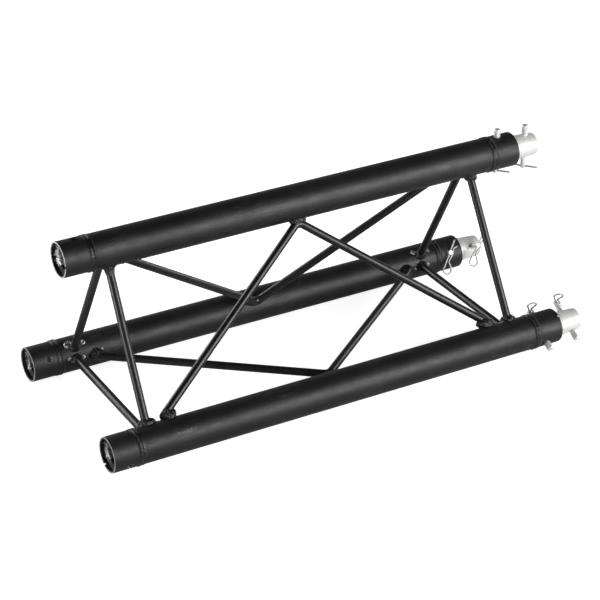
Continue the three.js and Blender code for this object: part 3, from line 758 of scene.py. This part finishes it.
def fillet(p, d, chord, a, b, h, kappa, seed, lumps=0.45, craters=1, ripple=0.3, nugget=None):
    """Weld round a rod's end: from an oval toe on the chord up to a ragged edge on the rod.
    p is any point of the rod's axis inside the chord, d runs out along the rod.
    nugget = (shift, reach, lean, bulge) is for a slanting rod cut square: the weld sits
    under the rod, shifted towards it, and closes over the rod's end."""
    nphi, nu = 132, 20
    axis0 = on_axis(chord, 0)
    P0 = p + d * enter(p, d, chord)
    rel = P0 - axis0
    th0 = math.atan2(rel[2], rel[1])
    tang = np.array([0, -math.sin(th0), math.cos(th0)])
    e1 = unit(X - d * d[0])
    e2 = np.cross(d, e1)
    if e2 @ tang < 0:
        e2 = -e2
    phi = np.arange(nphi) * 2 * math.pi / nphi
    A = a * (1 + 0.10 * ring_noise(phi, 7, seed) + 0.05 * ring_noise(phi, 19, seed + 1))
    B = b * (1 + 0.09 * ring_noise(phi, 7, seed + 2) + 0.05 * ring_noise(phi, 19, seed + 3))
    Hh = h * (1 + 0.16 * ring_noise(phi, 6, seed + 4) + 0.09 * ring_noise(phi, 17, seed + 5))
    toward = 1.0 if d[0] > 0 else -1.0
    bx = P0[0] + A * np.cos(phi) + (toward * nugget[0] if nugget else 0.0)
    bt = th0 + B * np.sin(phi) / TUBE_R
    base = np.stack([bx, axis0[1] + (TUBE_R - 0.18) * np.cos(bt), axis0[2] + (TUBE_R - 0.18) * np.sin(bt)], -1)
    u_dir = np.cos(phi)[:, None] * e1 + np.sin(phi)[:, None] * e2
    rod = P0 + ROD_R * u_dir
    ts = enter(rod - d * 30, d, chord) - 30
    corner = rod + ts[:, None] * d
    top = P0 + (ROD_R - 0.06) * u_dir + (ts + Hh)[:, None] * d
    k = np.clip(kappa + 0.25 * ring_noise(phi, 5, seed + 6), 0.05, 1.45)[:, None]
    C = corner + k * ((base - corner) * 0.75 + (top - corner) * 0.75)
    u = np.linspace(0, 1, nu)[:, None, None]
    if nugget:
        _, reach, lean, bulge = nugget
        along = reach + lean * toward * np.cos(phi) + 0.10 * h * ring_noise(phi, 6, seed + 4) + 0.06 * h * ring_noise(phi, 15, seed + 5)
        top = P0 + (ROD_R - 0.06) * u_dir + along[:, None] * d
        n0 = np.array([0, math.cos(th0), math.sin(th0)])
        outward = np.cos(phi)[:, None] * X + np.sin(phi)[:, None] * tang + 0.5 * n0
        outward /= np.linalg.norm(outward, axis=1)[:, None]
        bulges = bulge * (1 + 0.25 * ring_noise(phi, 5, seed + 6))
        C = (base + top) / 2 + 2 * bulges[:, None] * outward
        ts = along - h
        Hh = np.full(nphi, h)
    S = (1 - u) ** 2 * base + 2 * u * (1 - u) * C + u ** 2 * top
    # outward normals of the patch
    dphi = np.roll(S, -1, 1) - np.roll(S, 1, 1)
    du = np.gradient(S, axis=0)
    N = np.cross(du, dphi)
    N /= np.linalg.norm(N, axis=2)[..., None] + 1e-12
    centre = (P0 + d * h * 0.4)[None, None]
    flip = np.sign(((S - centre) * N).sum(-1).mean())
    N *= flip
    uu = np.repeat(u[:, :, 0], nphi, 1)
    pp = np.repeat(phi[None], nu, 0)
    env = np.clip(np.sin(math.pi * uu), 0, 1) ** 0.7
    count = round(2 * math.pi * (a + b) / 2 / 2.7)
    phase = count * pp + 2.2 * (uu - 0.5) ** 2 * 4 + 1.1 * ring_noise(pp, 9, seed + 8)
    disp = ripple * (np.abs(np.sin(phase / 2)) ** 0.7 - 0.62) + lumps * noise(S * 0.33, seed + 9) + 0.24 * noise(S * 0.95, seed + 10)
    rng = np.random.default_rng(seed)
    for _ in range(craters):
        pc = rng.uniform(0, 2 * math.pi)
        uc = rng.uniform(0.3, 0.6)
        dp = (np.angle(np.exp(1j * (pp - pc)))) * (a + ROD_R) / 2
        dd = np.hypot(dp, (uu - uc) * h * 1.3)
        disp = disp + 0.75 * np.exp(-(dd / 1.5) ** 2) - 1.0 * np.exp(-(dd / 0.65) ** 2)
    S = S + N * (disp * env)[..., None]
    # hidden closing rings, one under the chord's skin and one inside the rod
    low_t = th0 + (bt - th0) * 0.3
    low = np.stack([P0[0] + (bx - P0[0]) * 0.3, axis0[1] + (TUBE_R - 1.1) * np.cos(low_t), axis0[2] + (TUBE_R - 1.1) * np.sin(low_t)], -1)
    high = P0 + 1.6 * u_dir + (Hh.mean() + ts.mean() - 0.4) * d
    rows = np.concatenate([low[None], S, high[None]])
    V = rows.reshape(-1, 3)
    F = [tuple(q) for q in grid_faces(len(rows), nphi, True, True)]
    return V, F


# where a weld run was broken off: a small raised ring with a pit, beside the rod.
# (along the chord, round it towards +theta, size) from the point where the rod lands
CRATERS = {
    ("front", "female", 0): ((10.4, 2.4, 0.8),), ("front", "male", 0): ((-10.0, 3.0, 0.8),),
    ("rear", "female", 1): ((9.7, -2.9, 1.1), (-6.4, -4.4, 1.35), (-3.6, -6.6, 0.9), (-7.9, -2.0, 0.8)),
    ("rear", "male", 1): ((10.4, -2.5, 0.8), (-6.4, -4.6, 1.1)),
    ("bottom", "female", 0): ((7.6, -0.4, 0.95), (-7.0, -1.7, 0.7)),
    ("bottom", "male", 0): ((7.8, -0.1, 0.9), (-7.6, 1.6, 0.6)),
    ("bottom", "female", 1): ((9.4, 1.0, 0.8),), ("bottom", "male", 1): ((-9.4, -1.0, 0.8),),
    ("bottom", "female", "v"): ((10.8, -3.1, 0.9),), ("bottom", "male", "v"): ((-10.4, 0.6, 0.75),),
    ("front", "female", "v"): ((-12.0, 2.0, 0.7),), ("front", "male", "v"): ((12.4, 3.0, 0.7),),
}


def crater(centre, chord, dx, dr, size):
    axis0 = on_axis(chord, 0)
    rel = centre - axis0
    th = math.atan2(rel[2], rel[1]) + dr / TUBE_R
    n = np.array([0, math.cos(th), math.sin(th)])
    at0 = np.array([centre[0] + dx, *(axis0[1:] + TUBE_R * n[1:])])
    prof = [(-0.9, 0), (-0.9, 2.5), (-0.25, 2.65), (0.12, 2.45), (0.42, 2.15), (0.62, 1.75), (0.66, 1.35), (0.5, 0.98),
            (0.15, 0.68), (-0.15, 0.42), (-0.22, 0.2), (-0.24, 0)]
    prof = [(h * (1 if h < 0 else size), r * size) for h, r in prof]

    key = int(abs(dx) * 10 + abs(dr) * 7)

    def radial(S, T, R):
        return R * (1 + 0.20 * ring_noise(T, 4, key) + 0.09 * ring_noise(T, 13, key + 1))

    V, F = revolve(prof, at0, n, X, seg=56, closed=False, radial=radial)
    rel = V - at0
    up = rel @ n
    # uneven height round the lip, open on one side
    side_v = np.cross(n, X)
    th_v = np.arctan2(rel @ side_v, rel @ X)
    lift = np.where(up > 0.05, 0.30 * ring_noise(th_v, 3, key + 2) + 0.16 * ring_noise(th_v, 11, key + 3), 0)
    return V + (np.clip(up + lift * np.minimum(1, up / 0.4), np.minimum(up, 0.05), None) - up)[:, None] * n, F


def spatter(centre, chord, spread, count, seed):
    """Small beads of weld spatter on a chord, under the coat."""
    rng = np.random.default_rng(seed)
    axis0 = on_axis(chord, 0)
    rel = centre - axis0
    th0 = math.atan2(rel[2], rel[1])
    parts = []
    for _ in range(count):
        ang = rng.uniform(0, 2 * math.pi)
        dist = spread * (0.72 + 0.75 * rng.random() ** 1.4)
        x = centre[0] + dist * math.cos(ang)
        th = th0 + dist * math.sin(ang) / TUBE_R
        n = np.array([0, math.cos(th), math.sin(th)])
        r = rng.uniform(0.28, 0.75)
        prof = [(-0.35, 0), (-0.35, r * 1.05), (0.0, r * 1.08), (r * 0.45, r * 0.86), (r * 0.72, r * 0.45), (r * 0.8, 0)]
        at = np.array([x, *(axis0[1:] + TUBE_R * n[1:])])
        parts.append(revolve(prof, at, n, X, seg=14, closed=False))
    return parts


def pool(centre, ex, ey, ez, seed):
    """Weld between a rod's bend and the chord: a lumpy pad with fish-scale ripples."""
    nlat, nlon = 46, 96
    lat = np.linspace(-math.pi / 2, math.pi / 2, nlat)[1:-1]
    lon = np.arange(nlon) * 2 * math.pi / nlon
    LA, LO = np.meshgrid(lat, lon, indexing="ij")
    sp = lambda v, e: np.sign(v) * np.abs(v) ** e
    cx = np.sin(LA)
    cy = sp(np.cos(LA), 0.75) * sp(np.cos(LO), 0.85)
    cz = sp(np.cos(LA), 0.75) * sp(np.sin(LO), 0.85)
    Q = np.stack([cx, cy, cz], -1)
    P = centre + Q[..., :1] * ex + Q[..., 1:2] * ey + Q[..., 2:] * ez
    n = Q / np.linalg.norm(Q, axis=-1)[..., None]
    N = n[..., :1] * unit(ex) + n[..., 1:2] * unit(ey) + n[..., 2:] * unit(ez)
    along = Q[..., 0] * np.linalg.norm(ex)
    disp = 0.42 * (np.abs(np.sin(along * math.pi / 2.3 + 0.6 * np.cos(2 * LO))) ** 0.8 - 0.55) + 0.5 * noise(P * 0.35, seed) + 0.22 * noise(P * 1.1, seed + 1)
    P = P + N * disp[..., None] * np.cos(LA)[..., None] ** 0.4
    V = P.reshape(-1, 3)
    rows = nlat - 2
    F = [tuple(q) for q in grid_faces(rows, nlon, False, True)]
    k = len(V)
    V = np.concatenate([V, [centre - ex, centre + ex]])
    for j in range(nlon):
        q = (j + 1) % nlon
        F.append((k, q, j))
        F.append((k + 1, (rows - 1) * nlon + j, (rows - 1) * nlon + q))
    return V, F


seed = 100
for fi, (name, (ca, cb, posts, vee)) in enumerate(FACES.items()):
    A, B = on_axis(ca, 0), on_axis(cb, 0)
    across = unit(B - A)
    inward = unit(np.cross(X, across))
    if inward @ (CENTRE - A) < 0:
        inward = -inward

    def at(x, t, inset):
        return A + X * (X0 + x) + across * t + inward * inset

    for end, (xa, ia, xb, ib) in zip(("female", "male"), posts):
        node = f"end_post_{end}_{name}"
        P, Q = at(xa, POST_T, ia), at(xb, SPACING - POST_T, ib)
        d = unit(Q - P)
        n = 60
        path = np.linspace(P - d * 0.6, Q + d * 0.6, n)
        wob = 0.14 * np.sin(np.linspace(0, math.pi, n)) * (1 if fi % 2 else -1)
        path = path + wob[:, None] * X
        piece(node, *sweep(path, ROD_R, 40), ROD_COAT, angle=50)
        for chord, p, dd, which in ((ca, P, d, 0), (cb, Q, -d, 1)):
            seed += 13
            rng = np.random.default_rng(seed)
            a, b, h, kappa, lumps = {
                "top": (rng.uniform(8.6, 9.4), 7.2, rng.uniform(7.8, 8.8), rng.uniform(0.12, 0.24), 0.45),
                "front": (rng.uniform(8.4, 9.2), 7.6, rng.uniform(4.8, 5.6), rng.uniform(1.12, 1.28), 0.8),
                "rear": (rng.uniform(6.2, 6.8), 6.0, rng.uniform(4.4, 5.2), rng.uniform(0.60, 0.85), 0.85),
            }[chord]
            if (name, end, which) == ("front", "male", 1):
                a, h, kappa = 6.6, 4.6, 1.15      # this one sits up like a button
            V1 = fillet(p, dd, chord, a, b, h, kappa, seed, lumps=lumps, ripple=0.34 if chord == "top" else 0.55)
            hit = p + dd * enter(p, dd, chord)
            body = join(V1, *spatter(hit, chord, 10.0, 6 + seed % 4, seed))
            rings = [crater(hit, chord, *k) for k in CRATERS.get((name, end, which), ())]
            # the crater rings take the second material: worn bright metal, partly a painted highlight
            piece(f"weld_post_{end}_{name}_at_{chord}", *join(body, *rings), WELD, WORN_AND_GLINT, angle=62, second=len(body[1]))

    # V rod
    x1, xb, x2, foot_in, bend_in = vee
    apex = SPACING - math.sqrt((TUBE_R + ROD_R + 0.3) ** 2 - bend_in ** 2)
    ct = apex - BEND_R

    def leg(x):
        dx, dt = x - xb, FOOT_T - ct
        dist = math.hypot(dx, dt)
        ang = math.atan2(dt, dx) + (1 if dx > 0 else -1) * math.acos(BEND_R / dist)
        return ang, at(xb + BEND_R * math.cos(ang), ct + BEND_R * math.sin(ang), bend_in)

    aL, tL = leg(x1)
    aR, tR = leg(x2)
    if aL < 0:
        aL += 2 * math.pi
    pL, pR = at(x1, FOOT_T, foot_in), at(x2, FOOT_T, foot_in)
    dL, dR = unit(tL - pL), unit(tR - pR)
    # the rod is cut square and stands on its lower corner
    def stand(p, d):
        skin = p - d * 9 + d * enter(p - d * 9, d, ca)
        return skin + d * (ROD_R * abs(d[0]) / math.sqrt(1 - d[0] ** 2) + (3.0 if ca == "front" else 0.5))

    eL, eR = stand(pL, dL), stand(pR, dR)
    path = np.concatenate([
        np.linspace(eL, tL, 50, endpoint=False),
        [at(xb + BEND_R * math.cos(a), ct + BEND_R * math.sin(a), bend_in) for a in np.linspace(aL, aR, 40)],
        np.linspace(tR, eR, 50)[1:],
    ])
    piece(f"v_brace_{name}", *sweep(path, ROD_R, 40), ROD_COAT, angle=50)
    for end, p, d in (("female", pL, dL), ("male", pR, dR)):
        seed += 13
        rng = np.random.default_rng(seed)
        inside = p - d * 9.0
        a, b, h, kappa = {
            "top": (rng.uniform(8.4, 9.2), 7.0, rng.uniform(5.5, 6.5), 0.5),
            "front": (rng.uniform(9.2, 9.8), 7.6, rng.uniform(7.2, 8.2), 1.12),
            "rear": (rng.uniform(7.8, 8.4), 6.2, rng.uniform(5.0, 6.0), 0.80),
        }[ca]
        hit = inside + d * enter(inside, d, ca)
        nugget = {"top": (5.5, 10.5, 3.3, 0.8), "front": (8.3 if end == "female" else 5.6, 13.6, 2.6, 1.7), "rear": (5.2, 9.6, 3.3, 0.5)}[ca]
        V1 = fillet(inside, d, ca, {"top": 8.2, "front": 7.5, "rear": 7.4}[ca], b, h, kappa, seed, lumps=1.1 if ca == "rear" else 0.75, craters=2 if ca == "rear" else 1,
                    ripple=0.95 if ca == "front" else 0.8, nugget=nugget)
        body = join(V1, *spatter(hit, ca, 11.5, 7 + seed % 4, seed))
        rings = [crater(hit, ca, *k) for k in CRATERS.get((name, end, "v"), ())]
        # the crater rings take the second material: worn bright metal, partly a painted highlight
        piece(f"weld_v_{end}_{name}", *join(body, *rings), WELD, WORN_AND_GLINT, angle=62, second=len(body[1]))
    bend = at(xb, apex, bend_in)
    touch = on_axis(cb, 0) - bend
    touch[0] = 0
    touch = unit(touch)
    piece(f"weld_bend_{name}", *pool(bend + touch * (ROD_R - 0.4), X * 8.6, touch * 4.3, np.cross(X, touch) * 4.7, 60 + fi * 5), WELD, angle=62)

# ------------------------------------------------------- floor, light and camera
scene = bpy.context.scene


def only_camera(tree, seen, other, mixer="ShaderNodeMixShader"):
    """One shader for what the camera sees, another for what the object reflects."""
    lp = tree.nodes.new("ShaderNodeLightPath")
    mx = tree.nodes.new(mixer)
    tree.links.new(lp.outputs["Is Camera Ray"], mx.inputs[0])
    tree.links.new(other, mx.inputs[1])
    tree.links.new(seen, mx.inputs[2])
    return mx.outputs[0]


def stage_floor():
    V = np.array([[-6000, -6000, 0], [6000, -6000, 0], [6000, 6000, 0], [-6000, 6000, 0]], float)
    me = bpy.data.meshes.new("floor")
    me.from_pydata((V * MM).tolist(), [], [(0, 1, 2, 3)])
    o = bpy.data.objects.new("floor", me)
    scene.collection.objects.link(o)
    m = Nodes("pale_floor")
    tint = m.mix(m.noise(0.004, 2.0), (0.86, 0.86, 0.86, 1), (0.88, 0.88, 0.88, 1))
    seen = m.add("AddShader")
    glow = m.add("Emission")
    # the far floor runs out into the white backdrop
    m.put(glow, Color=(1, 1, 1, 1), Strength=m.ramp(m.vec("LENGTH", m.P), 800.0, 2600.0, FLOOR_GLOW, 1.0))
    m.put(seen, i0=m.bsdf(Base_Color=tint, Roughness=0.8, Specular_IOR_Level=0.1), i1=glow.outputs[0])
    dull = m.bsdf(Base_Color=(FLOOR_DULL, FLOOR_DULL, FLOOR_DULL, 1), Roughness=0.8, Specular_IOR_Level=0.0)
    o.data.materials.append(m.done(only_camera(m.tree, seen.outputs[0], dull)))
    return o


FLOOR_GLOW, FLOOR_DULL = 0.76, 0.85
floor = stage_floor()
# the floor stays under the lowest loose part: a drawn lower pin reaches below the frame
drv = floor.driver_add("location", 2).driver
terms = ["0"]
k = 0
for c in ("rear", "front"):
    for which in ("inner", "outer"):
        v = drv.variables.new()
        v.name = f"p{k}"
        v.type = "TRANSFORMS"
        v.targets[0].id = frame["bodies"][f"pin_{which}_{c}"]
        v.targets[0].transform_type = "LOC_Z"
        v.targets[0].transform_space = "WORLD_SPACE"
        low = box(f"taper_pin_{which}_{c}")[0][2] * MM
        terms.append(f"p{k} + {low:.5f}")
        k += 1
drv.type = "SCRIPTED"
drv.expression = "min(" + ", ".join(terms) + ")"


def area(name, loc, target, sx, sy, power, colour=(1, 1, 1)):
    li = bpy.data.lights.new(name, "AREA")
    li.shape = "RECTANGLE"
    li.size, li.size_y = sx, sy
    li.energy = power
    li.color = colour
    o = bpy.data.objects.new(name, li)
    scene.collection.objects.link(o)
    o.location = loc
    o.rotation_mode = "QUATERNION"
    o.rotation_quaternion = (Vector(target) - Vector(loc)).to_track_quat("-Z", "Z")
    return o


# a tall soft box to the right of the front puts one broad band on each tube; narrower ones
# at both ends edge the rods; overhead stays dark
def polar(azimuth, elevation, dist):
    a, e = math.radians(azimuth), math.radians(elevation)
    return (dist * math.sin(a) * math.cos(e), -dist * math.cos(a) * math.cos(e), dist * math.sin(e) + 0.09)


def softbox(name, azimuth, elevation, dist, width, height, radiance):
    area(name, polar(azimuth, elevation, dist), (0, 0, 0.09), width, height, radiance * math.pi * width * height)


softbox("key_front_right", 30, 17, 2.4, 1.7, 1.4, 8.8)
softbox("left_end", -92, 8, 2.4, 0.9, 0.9, 13.0)
softbox("right_end", 100, 10, 2.4, 0.9, 0.7, 4.5)
softbox("back_key", 206, 18, 2.5, 1.7, 1.3, 5.5)

world = bpy.data.worlds.new("studio")
world.use_nodes = True
scene.world = world
wt = world.node_tree
wt.nodes.clear()
wo = wt.nodes.new("ShaderNodeOutputWorld")
seen = wt.nodes.new("ShaderNodeBackground")
seen.inputs["Color"].default_value = (1, 1, 1, 1)
seen.inputs["Strength"].default_value = 1.0
bg = wt.nodes.new("ShaderNodeBackground")
tc = wt.nodes.new("ShaderNodeTexCoord")
sep = wt.nodes.new("ShaderNodeSeparateXYZ")
ramp = wt.nodes.new("ShaderNodeValToRGB")
wt.links.new(tc.outputs["Generated"], sep.inputs[0])
wt.links.new(sep.outputs["Z"], ramp.inputs["Fac"])
ramp.color_ramp.elements[0].position = 0.0
ramp.color_ramp.elements[0].color = (0.55, 0.55, 0.56, 1)
ramp.color_ramp.elements[1].position = 0.7
ramp.color_ramp.elements[1].color = (0.03, 0.03, 0.034, 1)
e = ramp.color_ramp.elements.new(0.33)
e.color = (0.20, 0.20, 0.21, 1)
wt.links.new(ramp.outputs["Color"], bg.inputs["Color"])
bg.inputs["Strength"].default_value = 1.0
wt.links.new(only_camera(wt, seen.outputs[0], bg.outputs[0]), wo.inputs[0])

cam = bpy.data.objects.new("camera", bpy.data.cameras.new("camera"))
scene.collection.objects.link(cam)
right = unit([0.87098092, -0.49128045, 0.00597952])
down = unit([-0.23511855, -0.42746141, -0.87292383])
fwd = unit(np.cross(right, down))
down = np.cross(fwd, right)
eye = np.array([-659.442 + X0, -1609.552, 1101.487 + 0.9]) * MM
cam.matrix_world = Matrix([[right[i], -down[i], -fwd[i], eye[i]] for i in range(3)] + [[0, 0, 0, 1]])
cam.data.sensor_width = 36.0
cam.data.lens = 2136.03 / 600 * 36.0
cam.data.shift_y = 0.0005
cam.data.clip_start, cam.data.clip_end = 0.1, 50
scene.camera = cam
scene.view_settings.view_transform = "Standard"
